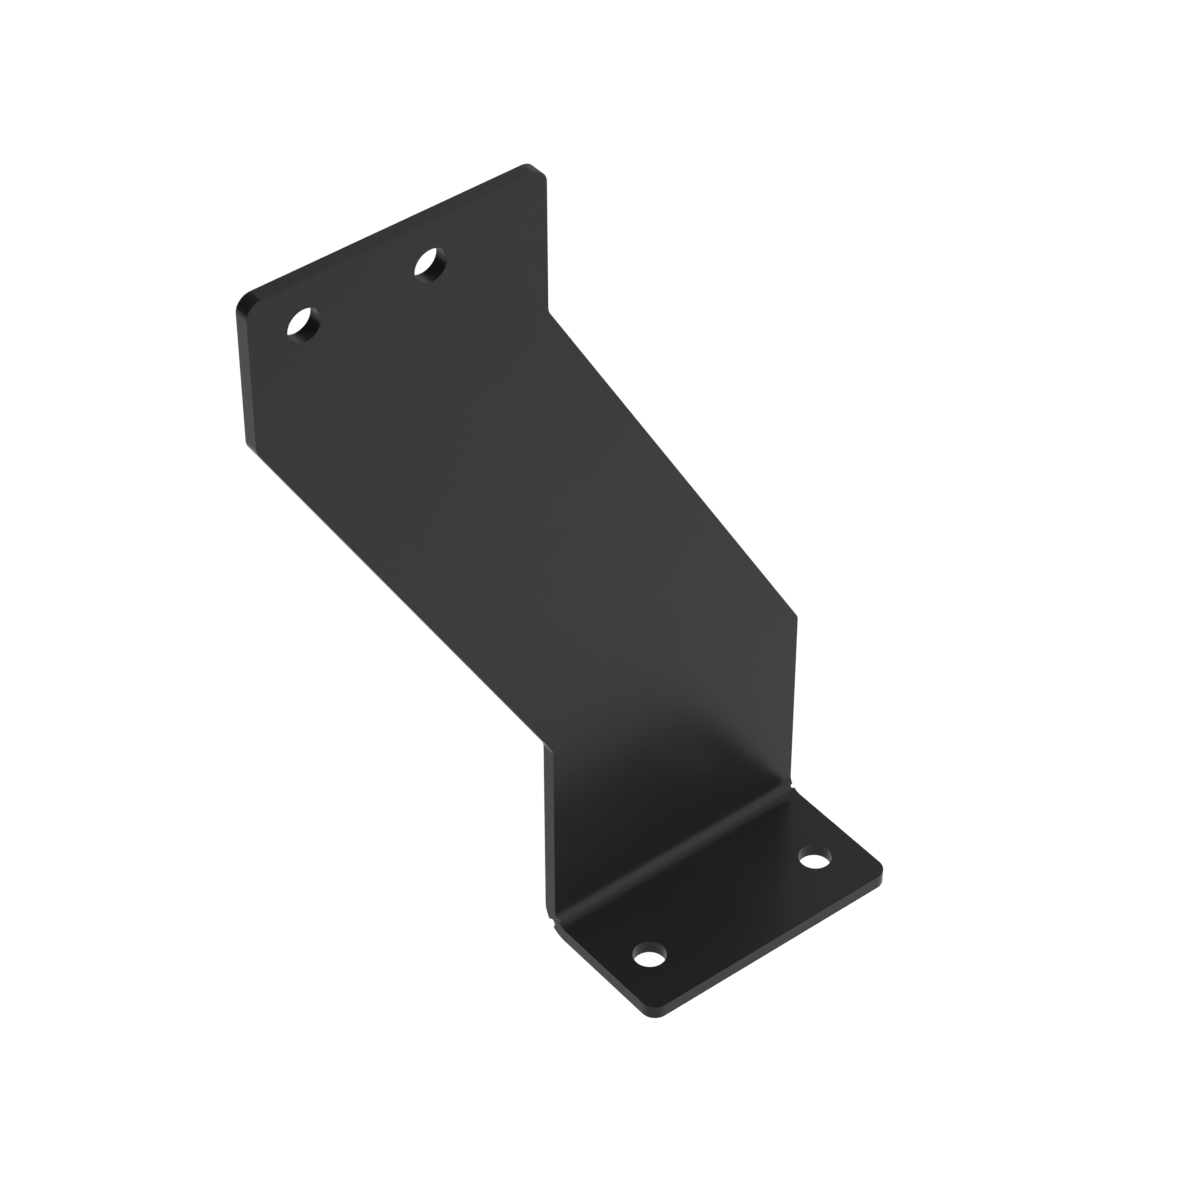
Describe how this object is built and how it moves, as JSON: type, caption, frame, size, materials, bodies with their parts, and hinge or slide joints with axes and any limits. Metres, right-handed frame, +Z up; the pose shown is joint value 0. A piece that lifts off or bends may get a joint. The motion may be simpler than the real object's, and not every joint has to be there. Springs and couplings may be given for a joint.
{
  "type": "step bracket",
  "caption": "Flat steel drop bracket with a sideways step in its upright plate and a short flange folded forward at its foot, coated satin black.",
  "frame": {"origin": "midway between the tab's two bolt holes, on the back face of the plate", "axes": "+Z up the plate, +Y out of the back face towards the frame that it is bolted to, and +X the way the plate steps as it goes down"},
  "size_m": [0.2, 0.055, 0.305],
  "materials": {
    "black_coat": "satin"
  },
  "bodies": {
    "root": {"step_bracket": "black_coat"}
  },
  "joints": []
}
